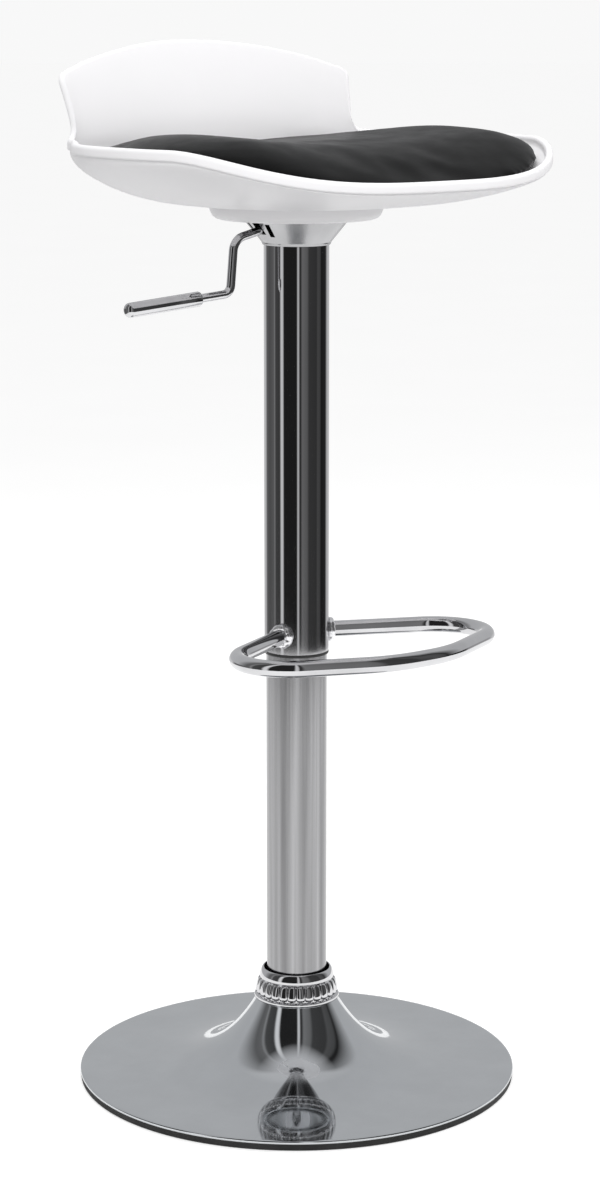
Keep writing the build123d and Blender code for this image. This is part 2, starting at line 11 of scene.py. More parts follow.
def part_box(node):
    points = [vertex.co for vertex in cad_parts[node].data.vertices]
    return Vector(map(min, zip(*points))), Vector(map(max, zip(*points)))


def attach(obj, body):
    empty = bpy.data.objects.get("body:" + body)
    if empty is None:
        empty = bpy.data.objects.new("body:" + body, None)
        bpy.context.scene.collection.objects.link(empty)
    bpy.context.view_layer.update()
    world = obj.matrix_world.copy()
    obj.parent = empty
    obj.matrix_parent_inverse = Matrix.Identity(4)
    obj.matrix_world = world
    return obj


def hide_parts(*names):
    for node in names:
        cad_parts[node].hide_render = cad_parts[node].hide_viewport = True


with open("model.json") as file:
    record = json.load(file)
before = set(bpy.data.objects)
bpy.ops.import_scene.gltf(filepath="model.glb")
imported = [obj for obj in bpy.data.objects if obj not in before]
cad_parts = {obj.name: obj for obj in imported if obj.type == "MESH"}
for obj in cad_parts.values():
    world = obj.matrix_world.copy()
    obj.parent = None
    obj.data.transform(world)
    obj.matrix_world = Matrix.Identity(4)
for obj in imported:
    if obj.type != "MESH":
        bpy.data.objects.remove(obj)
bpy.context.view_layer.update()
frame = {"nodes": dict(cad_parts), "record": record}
MM = 0.001
UP = Vector((0, 0, 1))

# ---- mesh helpers ---------------------------------------------------------------------


def mesh_object(name, vertices, faces, material, sharp_angle=None):
    """A smooth-shaded mesh object, with edges sharper than sharp_angle degrees kept crisp."""
    mesh = bpy.data.meshes.new(name)
    mesh.from_pydata([tuple(v) for v in vertices], [], faces)
    mesh.validate()
    mesh.update()
    made = bpy.data.objects.new(name, mesh)
    bpy.context.scene.collection.objects.link(made)
    mesh.materials.append(material)
    tool = bmesh.new()
    tool.from_mesh(mesh)
    bmesh.ops.remove_doubles(tool, verts=tool.verts, dist=1e-7)
    bmesh.ops.recalc_face_normals(tool, faces=tool.faces)
    limit = math.radians(sharp_angle) if sharp_angle else None
    for face in tool.faces:
        face.smooth = True
    for edge in tool.edges:
        if limit and len(edge.link_faces) == 2 and edge.calc_face_angle(0.0) > limit:
            edge.smooth = False
    tool.to_mesh(mesh)
    tool.free()
    return made


def finish_piece(piece, body, slot, *nodes):
    """Ties a piece to its body and hides the CAD nodes that it stands for. The slot is not used."""
    if nodes:
        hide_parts(*nodes)
    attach(piece, body)
    return piece


def rounded(points, radii, steps=8):
    """An open 2-D or 3-D path with an arc of the given radius at each inner corner."""
    points = [Vector(p) for p in points]
    path = [points[0]]
    for before, corner, after, radius in zip(points, points[1:], points[2:], radii):
        if radius <= 0:
            path.append(corner)
            continue
        back = (before - corner).normalized()
        ahead = (after - corner).normalized()
        half = back.angle(ahead) / 2
        reach = min(radius / math.tan(half), 0.49 * (before - corner).length, 0.49 * (after - corner).length)
        centre = corner + (back + ahead).normalized() * (reach / math.cos(half))
        start = corner + back * reach - centre
        end = corner + ahead * reach - centre
        turn = start.angle(end)
        for step in range(steps + 1):
            share = step / steps
            path.append(centre + (
                start * math.sin((1 - share) * turn) + end * math.sin(share * turn)) / math.sin(turn))
    path.append(points[-1])
    return path


def lathe(name, outline, material, segments=192, sharp_angle=50, wave=None):
    """Turns a closed (radius, height) outline in millimetres about the column's axis."""
    vertices = []
    faces = []
    count = len(outline)
    for i in range(segments):
        angle = 2 * math.pi * i / segments
        for r, z in outline:
            radius = wave(r, z, angle) if wave else r
            vertices.append((radius * math.cos(angle) * MM, radius * math.sin(angle) * MM, z * MM))
    for i in range(segments):
        here = i * count
        there = (i + 1) % segments * count
        for j in range(count):
            k = (j + 1) % count
            faces.append((here + j, there + j, there + k, here + k))
    return mesh_object(name, vertices, faces, material, sharp_angle)


def sweep_tube(name, path, radius_at, material, segments=40):
    """A round bar along a path in millimetres. radius_at gives the radius at each share of the length."""
    lengths = [0.0]
    for a, b in zip(path, path[1:]):
        lengths.append(lengths[-1] + (b - a).length)
    vertices = []
    faces = []
    side = None
    for i, point in enumerate(path):
        ahead = path[min(i + 1, len(path) - 1)] - path[max(i - 1, 0)]
        ahead.normalize()
        if side is None:
            side = ahead.cross(UP).normalized()
        side = (side - ahead * side.dot(ahead)).normalized()
        up = ahead.cross(side)
        radius = radius_at(lengths[i] / lengths[-1])
        for k in range(segments):
            turn = 2 * math.pi * k / segments
            vertices.append((point + side * radius * math.cos(turn) + up * radius * math.sin(turn)) * MM)
    for i in range(len(path) - 1):
        for k in range(segments):
            n = (k + 1) % segments
            faces.append((i * segments + k, i * segments + n, (i + 1) * segments + n, (i + 1) * segments + k))
    faces.append(tuple(range(segments - 1, -1, -1)))
    last = (len(path) - 1) * segments
    faces.append(tuple(range(last, last + segments)))
    return mesh_object(name, vertices, faces, material, 50)


# ---- materials ------------------------------------------------------------------------

# Noise stays mostly between these two values, so a colour or polish runs its whole range across them.
NOISE_LOW = 0.3
NOISE_HIGH = 0.7


class Nodes:
    """A material whose nodes are added one at a time."""

    def __init__(self, name):
        self.material = bpy.data.materials.new(name)
        self.material.use_nodes = True
        self.tree = self.material.node_tree
        self.shader = self.tree.nodes["Principled BSDF"]
        self.where = self.add("ShaderNodeTexCoord").outputs["Object"]

    def add(self, kind, **values):
        node = self.tree.nodes.new(kind)
        for key, value in values.items():
            if key in node.inputs:
                node.inputs[key].default_value = value
            else:
                setattr(node, key, value)
        return node

    def join(self, output, socket):
        self.tree.links.new(output, socket)

    def set(self, **values):
        for key, value in values.items():
            self.shader.inputs[key.replace("_", " ")].default_value = value

    def noise(self, scale, detail=4.0, stretch=None):
        node = self.add("ShaderNodeTexNoise", Scale=scale, Detail=detail)
        source = self.where
        if stretch:
            mapping = self.add("ShaderNodeMapping")
            mapping.inputs["Scale"].default_value = stretch
            self.join(self.where, mapping.inputs["Vector"])
            source = mapping.outputs["Vector"]
        self.join(source, node.inputs["Vector"])
        return node.outputs["Fac"]

    def colour(self, source, dark, light):
        """Runs the base colour from dark to light with a noise."""
        node = self.add("ShaderNodeValToRGB")
        first, last = node.color_ramp.elements
        first.position = NOISE_LOW
        first.color = dark
        last.position = NOISE_HIGH
        last.color = light
        self.join(source, node.inputs["Fac"])
        self.join(node.outputs["Color"], self.shader.inputs["Base Color"])

    def polish(self, source, smooth, rough):
        """Runs the roughness from smooth to rough with a noise."""
        node = self.add("ShaderNodeMapRange")
        node.inputs["From Min"].default_value = NOISE_LOW
        node.inputs["From Max"].default_value = NOISE_HIGH
        node.inputs["To Min"].default_value = smooth
        node.inputs["To Max"].default_value = rough
        self.join(source, node.inputs["Value"])
        self.join(node.outputs["Result"], self.shader.inputs["Roughness"])

    def bump(self, source, strength, distance, after=None):
        node = self.add("ShaderNodeBump", Strength=strength, Distance=distance)
        self.join(source, node.inputs["Height"])
        if after:
            self.join(after, node.inputs["Normal"])
        self.join(node.outputs["Normal"], self.shader.inputs["Normal"])
        return node.outputs["Normal"]


def grey(level, tint=(1.0, 1.0, 1.0)):
    return (level * tint[0], level * tint[1], level * tint[2], 1.0)


def metal(name, dark, light, smooth, rough, ripple=0.0, stretch=None, tint=(1.0, 1.0, 1.02)):
    """Plated or machined metal, with faint clouding in its colour and polish."""
    made = Nodes(name)
    made.set(Metallic=1.0)
    made.colour(made.noise(26.0, detail=5.0, stretch=stretch), grey(dark, tint), grey(light, tint))
    made.polish(made.noise(70.0, detail=6.0, stretch=stretch), smooth, rough)
    if ripple:
        made.bump(made.noise(9.0, detail=2.0, stretch=stretch), ripple, distance=0.001)
    return made.material


def moulded(name, colour, worn, smooth, rough, grain, grain_depth, shine=0.5):
    """Moulded plastic or rubber, with a fine grain and slight colour variation."""
    made = Nodes(name)
    made.colour(made.noise(14.0), colour, worn)
    made.polish(made.noise(40.0), smooth, rough)
    made.bump(made.noise(grain, detail=3.0), grain_depth, distance=0.0005)
    made.set(Specular_IOR_Level=shine)
    return made.material


def leather(name):
    """Black coated leather: a pebbled grain of small cells over a slow unevenness."""
    made = Nodes(name)
    made.colour(made.noise(9.0), grey(0.002), grey(0.004))
    made.polish(made.noise(55.0, detail=5.0), smooth=0.36, rough=0.43)
    made.set(Specular_IOR_Level=0.13)
    cells = made.add("ShaderNodeTexVoronoi", Scale=900.0, feature="SMOOTH_F1")
    made.join(made.where, cells.inputs["Vector"])
    grain = made.bump(cells.outputs["Distance"], 0.25, distance=0.0004)
    made.bump(made.noise(60.0, detail=3.0), 0.06, distance=0.001, after=grain)
    return made.material


WHITE_TINT = (1.0, 0.992, 1.008)

# Each metal: darkest and lightest grey, then smoothest and roughest polish.
MIRROR = metal("mirror_chrome", 0.62, 0.70, 0.025, 0.05)
BASE_CHROME = metal("base_chrome", 0.62, 0.66, 0.04, 0.07, ripple=0.01, tint=(0.97, 1.0, 1.03))
TUBE_CHROME = metal("tube_chrome", 0.50, 0.58, 0.03, 0.06, ripple=0.02, stretch=(1, 1, 0.08))
COLUMN_CHROME = metal("column_chrome", 0.20, 0.43, 0.12, 0.20, stretch=(5, 5, 0.05))
CONE_CHROME = metal("cone_chrome", 0.40, 0.50, 0.18, 0.26)
WELD_CHROME = metal("weld_chrome", 0.85, 0.92, 0.22, 0.34, ripple=0.4)
STEEL = metal("plain_steel", 0.30, 0.45, 0.30, 0.45)
ZINC = metal("zinc_plate", 0.45, 0.60, 0.28, 0.40, tint=(1.0, 1.01, 1.03))
GROUND = metal("ground_steel", 0.50, 0.58, 0.15, 0.22)
BRASS = metal("brass", 0.50, 0.62, 0.22, 0.32, tint=(1.15, 0.88, 0.45))
ALUMINIUM = metal("turned_aluminium", 0.62, 0.70, 0.25, 0.35)

# Each moulding: plain and worn colour, smoothest and roughest polish, then how fine and deep its grain is.
WHITE = moulded(
    "white_shell_plastic", grey(0.83, WHITE_TINT), grey(0.845, WHITE_TINT), 0.30, 0.36, 260.0, 0.008,
    shine=0.35)
RUBBER = moulded("black_rubber", grey(0.012), grey(0.022), 0.65, 0.8, 500.0, 0.15)
NYLON = moulded("black_nylon", grey(0.015), grey(0.025), 0.38, 0.5, 400.0, 0.1)
PAINT = moulded("black_paint", grey(0.02), grey(0.03), 0.3, 0.4, 350.0, 0.08)
FOAM = moulded("foam", (0.70, 0.62, 0.42, 1), (0.76, 0.68, 0.48, 1), 0.85, 0.95, 700.0, 0.5)
BOARD = moulded("pressed_board", (0.42, 0.29, 0.17, 1), (0.50, 0.36, 0.22, 1), 0.7, 0.85, 200.0, 0.2)
LEATHER = leather("pad_leather")

CARRIED_OVER = {
    "chrome": MIRROR, "satin_chrome": COLUMN_CHROME, "black_rubber": RUBBER, "black_plastic": NYLON,
    "white_plastic": WHITE, "black_leather": LEATHER, "foam": FOAM, "plywood": BOARD, "raw_steel": STEEL,
    "zinc_steel": ZINC, "bearing_steel": GROUND, "black_paint": PAINT, "brass": BRASS, "aluminium": ALUMINIUM,
}


def dress_cad_nodes():
    """Gives every CAD node the detailed material of its slot."""
    for part in frame["record"]["subparts"]:
        node = frame["nodes"][part["node"]]
        material = CARRIED_OVER[part["material_slot"]]
        if not node.data.materials:
            node.data.materials.append(material)
        for place in node.material_slots:
            place.material = material
    frame["nodes"]["swivel_cone"].material_slots[0].material = CONE_CHROME


# ---- base, collar and tubes, in millimetres ------------------------------------------------


def frame_size(node):
    """A CAD node's lowest and highest corners, to a tenth of a millimetre."""
    low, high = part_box(node)
    return [round(c / MM, 1) for c in low], [round(c / MM, 1) for c in high]


BASE_RADIUS = frame_size("base_plate")[1][0]
NECK_RADIUS = 38.6
SHEET = 1.2
FLAT_HEIGHT = 9.0
DISC_RISE = 4.0
NECK_RISE = 62.0
NECK_POWER = 4.6
PROFILE_STEPS = 110


def base_height(radius):
    """Height of the base's upper surface, a nearly flat disc that flares up into a neck."""
    flare = BASE_RADIUS - 0.5
    share = max(0.0, (flare - radius) / (flare - NECK_RADIUS))
    return FLAT_HEIGHT + DISC_RISE * share + NECK_RISE * share ** NECK_POWER


def make_base():
    reach = BASE_RADIUS - 0.7 - NECK_RADIUS
    radii = [NECK_RADIUS + reach * (i / PROFILE_STEPS) ** 1.5 for i in range(PROFILE_STEPS + 1)]
    outer = [(r, base_height(r)) for r in radii]
    rolled = [(-0.4, 8.75), (-0.1, 8.3), (0.0, 7.7), (-0.1, 7.0)]
    rolled += [(-0.5, 6.2), (-1.3, 6.0), (-1.9, 6.8), (-3.0, 7.7)]
    edge = [(BASE_RADIUS + out, z) for out, z in rolled]
    inner = []
    for r in reversed(radii[:-8:2]):
        slope = base_height(r + 0.5) - base_height(r - 0.5)
        length = math.hypot(1, slope)
        inner.append((r + SHEET * slope / length, base_height(r) - SHEET / length))
    piece = lathe("trumpet_base", outer + edge + inner, BASE_CHROME, 256, 40)
    return finish_piece(piece, "base", "chrome", "base_plate")


def make_rubber_band():
    band = [(-0.9, 0.6), (-0.8, 1.2), (-0.8, 6.3), (-3.5, 6.3)]
    band += [(-11.5, 3.2), (-11.5, 0.3), (-10.5, 0.0), (-1.5, 0.0)]
    piece = lathe("base_rubber_band", [(BASE_RADIUS + out, z) for out, z in band], RUBBER, 256, 40)
    return finish_piece(piece, "base", "black_rubber", "base_rubber_ring")


RIBS = 28
RIB_LOW = 80.2
RIB_HIGH = 94.8
RIB_DEPTH = 2.4
BAND_LOW = 79.7
BAND_STEP = 0.55
BAND_ROWS = 29
BAND_HIGH = BAND_LOW + BAND_STEP * (BAND_ROWS - 1)


def rib_wave(radius, height, angle):
    """Cuts narrow rounded grooves between the collar's ribs."""
    if radius < 34.0 or not RIB_LOW - 1 < height < RIB_HIGH + 1:
        return radius
    across = abs((angle * RIBS / math.pi) % 2 - 1)
    up = abs(height - (RIB_LOW + RIB_HIGH) / 2) / ((RIB_HIGH - RIB_LOW) / 2)
    inside = max(0.0, 1 - across ** 3.2 - up ** 5)
    return radius - 0.9 + RIB_DEPTH * inside ** 0.45


def make_collar():
    foot = [(33.0, 75.3), (39.2, 75.3), (40.1, 75.9), (40.4, 77.0), (40.1, 78.4), (39.2, 79.4)]
    heights = [BAND_LOW + BAND_STEP * i for i in range(BAND_ROWS)]
    band = [(38.2 - 3.4 * ((z - BAND_LOW) / (BAND_HIGH - BAND_LOW)) ** 1.5, z) for z in heights]
    shoulder = [(35.1, 95.8), (35.3, 97.4), (35.0, 99.4), (34.3, 101.6)]
    shoulder += [(33.4, 103.4), (32.5, 104.6), (31.8, 105.0)]
    inside = [(31.3, 104.7), (31.1, 104.0), (31.1, 98.0), (33.0, 92.0)]
    piece = lathe("ribbed_collar", foot + band + shoulder + inside, MIRROR, RIBS * 24, 35, rib_wave)
    return finish_piece(piece, "base", "chrome", "column_collar")


def make_lower_column():
    low, high = frame_size("lower_column")
    radius, foot, top = high[0], low[2], high[2]
    bore = radius - 2.0
    outline = [(radius, foot + 0.4), (radius, top - 0.6), (radius - 0.5, top), (bore, top), (bore, foot)]
    outline += [(radius - 0.4, foot)]
    piece = lathe("column_tube", outline, COLUMN_CHROME, 192, 30)
    return finish_piece(piece, "base", "satin_chrome", "lower_column")


def make_upper_tube():
    low, high = frame_size("upper_tube")
    radius, foot, top = high[0], low[2], high[2] - 0.2
    bore = radius - 0.9
    outline = [(radius, foot + 0.7), (radius, top), (bore, top)]
    outline += [(bore, foot + 0.1), (radius - 0.5, foot + 0.1)]
    piece = lathe("lift_tube", outline, TUBE_CHROME, 256, 30)
    return finish_piece(piece, "seat", "chrome", "upper_tube")


# ---- footrest and lever ------------------------------------------------------------------

LOOP_Z = 432.0
LOOP_TILT = math.radians(1.5)
LOOP_BAR = 7.5
LOOP_STEP = 6.0
# One half of the loop's centre line from the tube to the front, as (across, forward), and its bends.
LOOP_HALF = [(26.6, 12.6), (131, 69), (131, 131), (33, 180)]
LOOP_BENDS = [60, 50, 112]


def loop_point(across, forward):
    """A point of the footrest's centre line, on its slightly raised plane."""
    return Vector((across, -forward * math.cos(LOOP_TILT), LOOP_Z + forward * math.sin(LOOP_TILT)))


def make_footrest():
    corners = LOOP_HALF + [(-across, forward) for across, forward in reversed(LOOP_HALF)]
    path = rounded([loop_point(*c) for c in corners], LOOP_BENDS + LOOP_BENDS[::-1], 20)
    dense = [path[0]]
    for a, b in zip(path, path[1:]):
        count = max(1, int((b - a).length / LOOP_STEP))
        dense += [a.lerp(b, (i + 1) / count) for i in range(count)]
    piece = sweep_tube("footrest_loop", dense, lambda share: LOOP_BAR, MIRROR, 48)
    # Nothing shiny mirrors the loop.
    piece.visible_glossy = False
    return finish_piece(piece, "seat", "chrome", "footrest_ring")


WELD_CENTRE = (27.4, -13.2)
WELD_LUMP = 0.22
WELD_RING = 7.8
WELD_SPREAD = 3.1
WELD_RISE = 3.3
WELD_INSIDE = 29.4
WELD_SEGMENTS = 96
WELD_ROWS = 20


def weld_ring(side):
    """The rows of points round one weld. Its points stop just inside the tube's surface."""
    centre = Vector((side * WELD_CENTRE[0], WELD_CENTRE[1], LOOP_Z + 0.6))
    out = Vector((side * 0.88, -0.47, 0.03)).normalized()
    across = out.cross(UP).normalized()
    points = []
    for i in range(WELD_SEGMENTS):
        turn = 2 * math.pi * i / WELD_SEGMENTS
        spoke = UP * math.cos(turn) + across * math.sin(turn)
        ripple = abs(math.sin(turn * 4.5 + side)) + noise.noise(spoke * 2.1 + centre)
        lump = 1 + WELD_LUMP * ripple
        for j in range(WELD_ROWS):
            lift = 2 * math.pi * j / WELD_ROWS
            reach = WELD_RING + WELD_SPREAD * lump * math.cos(lift)
            point = centre + spoke * reach + out * (1.4 + WELD_RISE * lump * math.sin(lift))
            flat = math.hypot(point.x, point.y)
            if flat < WELD_INSIDE:
                point.x *= WELD_INSIDE / flat
                point.y *= WELD_INSIDE / flat
            points.append(point * MM)
    return points


def make_weld_beads():
    """The lumpy weld round each end of the footrest, where it meets the tube."""
    vertices = []
    faces = []
    for side in (-1, 1):
        first = len(vertices)
        vertices += weld_ring(side)
        for i in range(WELD_SEGMENTS):
            here = first + i * WELD_ROWS
            there = first + (i + 1) % WELD_SEGMENTS * WELD_ROWS
            for j in range(WELD_ROWS):
                n = (j + 1) % WELD_ROWS
                faces.append((here + j, there + j, there + n, here + n))
    piece = mesh_object("footrest_weld_beads", vertices, faces, WELD_CHROME, 60)
    return finish_piece(piece, "seat", "chrome", "footrest_welds")


# The lever rod's centre line, as (x, z), and its bends.
LEVER_PATH = [(7, 820.5), (-27, 820.5), (-43, 806), (-71, 799.5), (-75.5, 751.5), (-180, 743.9)]
LEVER_BENDS = [6, 9, 14, 9]
LEVER_CORNERS = [Vector((x, 0, z)) for x, z in LEVER_PATH]
ROD_RADIUS = 4.0
GRIP_X = -110
GRIP_LENGTH = 80.0
GRIP_RADIUS = 6.75
GRIP_ROUNDING = 5.0


def make_lever_rod():
    path = rounded(LEVER_CORNERS, LEVER_BENDS, 12)
    piece = sweep_tube("release_lever", path, lambda share: ROD_RADIUS, MIRROR, 32)
    return finish_piece(piece, "lever", "chrome", "lever_rod")


def make_lever_grip():
    elbow, tip = LEVER_CORNERS[-2:]
    ahead = (tip - elbow).normalized()
    start = elbow + ahead * ((GRIP_X - elbow.x) / ahead.x)
    shoulder = GRIP_LENGTH - GRIP_ROUNDING
    profile = [(0, 4.4), (0.02, 5.9), (0.5, 6.5)]
    profile += [(distance, GRIP_RADIUS) for distance in (1.0, 30, 60, shoulder)]
    for turn in (0.15, 0.35, 0.55, 0.75, 0.95, 1.15, 1.35, 1.54):
        radius = GRIP_RADIUS - GRIP_ROUNDING + GRIP_ROUNDING * math.cos(turn)
        profile.append((shoulder + GRIP_ROUNDING * math.sin(turn), radius))
    far = profile[-1][0] + 0.05
    profile.append((far, 0.6))

    def radius_at(share):
        place = share * far
        for (d0, r0), (d1, r1) in zip(profile, profile[1:]):
            if place <= d1 + 1e-6:
                return r0 + (r1 - r0) * max(0.0, place - d0) / (d1 - d0)
        return profile[-1][1]

    path = [start + ahead * distance for distance, radius in profile]
    piece = sweep_tube("lever_handle", path, radius_at, MIRROR, 48)
    return finish_piece(piece, "lever", "chrome", "lever_grip")


# ---- seat shell -----------------------------------------------------------------------------

WAIST = 3.0
HALF_WIDTH = 221.0
FRONT_REACH = 204.0
REAR_REACH = 150.0
FRONT_POWER = 2.55
REAR_POWER = 2.15
WING = 18.0
WING_ANGLE = 127.5
WING_SPREADS = (8.0, 13.0)
FLAT = 3.5
FLAT_ANGLE = 155
FLAT_SPREAD = 18
FLOOR = 829.0
FLOOR_RADIUS = 80.0
FRONT_HEIGHT = 849.5
SIDE_RISE = 28.0
CLIMB_LENGTH = 115.0
RIM_HEIGHT = 9.5
LIP = 7.0
LIP_STEP = 2.4
WALL = 4.4
OUTER_DROP = 1.6
LEAN_START = 893.0
LEAN = 0.105
BACK_HEIGHT = 971.0
BACK_FALL = 19.0
BACK_REACH = 140.0


def oval_radius(angle, rear_power):
    """Plan radius of a rounded oval at an angle in degrees from straight ahead."""
    turn = math.radians(angle)
    reach, power = (FRONT_REACH, FRONT_POWER) if abs(angle) < 90 else (REAR_REACH, rear_power)
    across = abs(math.sin(turn) / HALF_WIDTH) ** power
    along = abs(math.cos(turn) / reach) ** power
    return (across + along) ** (-1 / power)


def plan_radius(angle):
    """Plan radius of the rim: an oval with wings at the rear corners, where the back begins."""
    around = abs(angle)
    spread = WING_SPREADS[0] if around < WING_ANGLE else WING_SPREADS[1]
    wing = WING * math.exp(-((around - WING_ANGLE) / spread) ** 2)
    flat = FLAT * math.exp(-((around - FLAT_ANGLE) / FLAT_SPREAD) ** 2)
    return oval_radius(angle, REAR_POWER) + wing - flat


def bowl_height(forward):
    """Height where the bowl meets its rim: lowest in front and level from the middle back."""
    share = min(1.0, max(0.0, (WAIST + FRONT_REACH - forward) / CLIMB_LENGTH))
    return FRONT_HEIGHT + SIDE_RISE * (1 - (1 - share ** 1.3) ** 1.9)


def lean(height):
    """How far the back leans out at a height."""
    return LEAN * max(0.0, height - LEAN_START) ** 1.3


def rim_height(angle):
    return bowl_height(WAIST + plan_radius(angle) * math.cos(math.radians(angle)))


def wall_point(angle, height, inwards=0.0):
    """A point of the upright wall, moved in along the wall's normal. Angle in degrees, -180 to 180."""

    def surface(a, z):
        radius = plan_radius(a) + lean(z)
        turn = math.radians(a)
        return Vector((radius * math.sin(turn), -(WAIST + radius * math.cos(turn)), z))

    point = surface(angle, height)
    if inwards == 0.0:
        return point
    along = surface(angle + 0.25, height) - surface(angle - 0.25, height)
    up = surface(angle, height + 0.5) - surface(angle, height - 0.5)
    normal = along.cross(up).normalized()
    if normal.x * point.x + normal.y * (point.y + WAIST) < 0:
        normal.negate()
    return point - normal * inwards


def bowl_point(angle, turn, inwards, rise):
    """A point of the bowl at a turn from 0, at the flat floor, to 90 degrees, at the rim's foot."""
    radius = plan_radius(angle) - inwards
    top = rim_height(angle) - OUTER_DROP + rise
    floor = FLOOR + rise * 0.9
    rear = (1 - math.cos(math.radians(angle))) / 2
    s = math.sin(math.radians(turn))
    share = (1 - rear) * s ** 2.2 + rear * (1 - math.cos(math.radians(turn)))
    r = FLOOR_RADIUS + (radius - FLOOR_RADIUS) * s
    z = floor + (top - floor) * share
    a = math.radians(angle)
    return Vector((r * math.sin(a), -(WAIST * s + r * math.cos(a)), z))


def back_top(angle):
    """Height of the back's top edge at an angle, highest in the middle."""
    height = 960.0
    for _ in range(6):
        across = (plan_radius(angle) + lean(height)) * math.sin(math.radians(angle))
        height = BACK_HEIGHT - BACK_FALL * (across / BACK_REACH) ** 2
    return height


PER_DEGREE = 3.6
SIDE_COLUMNS = 93
SIDE_END = 117.0
CLIMB_END = 137.5
REAR_COLUMNS = 34
COLUMN_STEP = 3.0
# The angles at which the rim turns up, the back's side edge bends, and the back's top corner stands.
TURN_UP, SIDE_BEND, TOP_CORNER = 127.4, 128.5, 129.6
SIDE_BEND_HEIGHT = 915.0
CORNER_BENDS = [13.0, 60.0, 14.0]


def climb_columns():
    """The edge's (angle, height) from the low rim, round the corner and up the back's side."""
    level = rim_height(120) + RIM_HEIGHT
    corners = [(SIDE_END, level), (TURN_UP, level), (SIDE_BEND, SIDE_BEND_HEIGHT),
               (TOP_CORNER, back_top(TOP_CORNER) - 1.0), (140, back_top(140))]
    path = rounded([Vector((angle * PER_DEGREE, z)) for angle, z in corners], CORNER_BENDS, 10)
    climb = []
    for a, b in zip(path, path[1:]):
        count = max(1, int((b - a).length / COLUMN_STEP))
        climb += [a.lerp(b, (i + 1) / count) for i in range(count)]
    return [(c.x / PER_DEGREE, c.y) for c in climb if c.x / PER_DEGREE < CLIMB_END]


def edge_columns():
    """For each column of half of the shell: its edge's (angle, height), edge normal and foot angle."""
    sides = [i * SIDE_END / (SIDE_COLUMNS - 1) for i in range(SIDE_COLUMNS)]
    columns = [(a, rim_height(a) + RIM_HEIGHT) for a in sides] + climb_columns()
    start, end = SIDE_COLUMNS, len(columns)
    last = columns[-1][0]
    rear = [last + (180 - last) * (i + 1) / REAR_COLUMNS for i in range(REAR_COLUMNS)]
    columns += [(a, back_top(a)) for a in rear]
    points = [Vector((a * PER_DEGREE, z)) for a, z in columns]
    total = sum((points[i] - points[i - 1]).length for i in range(start, end))
    made = []
    walked = 0.0
    for i, (angle, height) in enumerate(columns):
        before = points[max(0, i - 1)]
        after = points[min(len(points) - 1, i + 1)]
        along = (after - before).normalized()
        if i in (0, len(columns) - 1):
            along = Vector((1.0, 0.0))
        inwards = Vector((along.y / PER_DEGREE, -along.x))
        foot = angle
        if start <= i < end:
            walked += (points[i] - points[i - 1]).length
            foot = SIDE_END + (last - SIDE_END) * walked / total
        made.append((angle, height, inwards, foot))
    return made


LIP_TURNS = [0, 15, 30, 45, 60, 75, 90]
WALL_SHARES = [0.12, 0.25, 0.4, 0.55, 0.7, 0.85, 1.0]
BOWL_TURNS = [87, 84, 80, 75, 70, 65, 60, 54, 48, 42, 36, 30, 24, 18, 12, 6, 0]
# The rim's outer face below its rounded lip, as (distance down from the edge, depth inwards).
RIM_FACE = [
    (5.0, 0.0), (6.5, 0.0), (7.8, 0.0), (8.6, 0.15), (9.1, 0.5), (9.4, 1.1), (9.5, 1.8), (9.55, LIP_STEP),
]


def wall_rows(top, base, depth):
    """The wall's points from its top to its base, each an (angle, height), at a depth inwards."""
    rows = []
    for share in WALL_SHARES:
        angle = top[0] + (base[0] - top[0]) * share
        z = top[1] + (base[1] - top[1]) * share
        rows.append(wall_point(angle, z, depth))
    return rows


def shell_section(angle, height, inwards, foot, side):
    """One closed section of the shell, from the bowl's inner floor over the lip to its outer floor."""

    def below(distance):
        return angle + inwards.x * distance, height + inwards.y * distance

    half = LIP / 2
    inner = []
    outer = []
    for turn in LIP_TURNS:
        drop = half * (1 - math.cos(math.radians(turn)))
        swing = half * math.sin(math.radians(turn))
        inner.append(wall_point(*below(drop), half + swing))
        outer.append(wall_point(*below(drop), half - swing))
    outer.pop(0)
    inner += wall_rows(below(half), (foot, rim_height(foot) + WALL), LIP)
    inner += [bowl_point(foot, turn, LIP, WALL) for turn in BOWL_TURNS]
    outer += [wall_point(*below(distance), depth) for distance, depth in RIM_FACE]
    outer += wall_rows(below(RIM_FACE[-1][0]), (foot, rim_height(foot) - OUTER_DROP), LIP_STEP)
    outer += [bowl_point(foot, turn, LIP_STEP, 0.0) for turn in BOWL_TURNS]
    return [Vector((side * p.x, p.y, p.z)) for p in inner[::-1] + outer]


def make_shell():
    half = edge_columns()
    sections = [shell_section(*column, 1) for column in half]
    sections += [shell_section(*column, -1) for column in reversed(half[1:-1])]
    rows = len(sections[0])
    vertices = [p * MM for section in sections for p in section]
    faces = []
    count = len(sections)
    for i in range(count):
        for j in range(rows - 1):
            a = i * rows + j
            b = (i + 1) % count * rows + j
            faces.append((a, b, b + 1, a + 1))
    faces.append(tuple(i * rows for i in range(count)))
    faces.append(tuple(i * rows + rows - 1 for i in reversed(range(count))))
    piece = mesh_object("moulded_seat_shell", vertices, faces, WHITE, 45)
    return finish_piece(piece, "seat", "white_plastic", "seat_shell")


def make_boss():
    """The round skirt under the shell, as (radius, depth below the bowl's floor)."""
    outside = [(80.2, -0.3), (80.0, 1.0), (79.2, 4.5), (78.0, 8.0), (76.2, 10.8), (74.0, 12.6), (71.6, 13.4)]
    inside = [(69.0, 13.6), (67.0, 13.4), (67.0, 11.4), (72.0, 9.8), (75.0, 5.5), (76.5, -0.3)]
    outline = [(radius, FLOOR - depth) for radius, depth in outside + inside]
    piece = lathe("shell_boss", outline, WHITE, 192, 45)
    return finish_piece(piece, "seat", "white_plastic", "seat_shell")


# ---- pad --------------------------------------------------------------------------------------

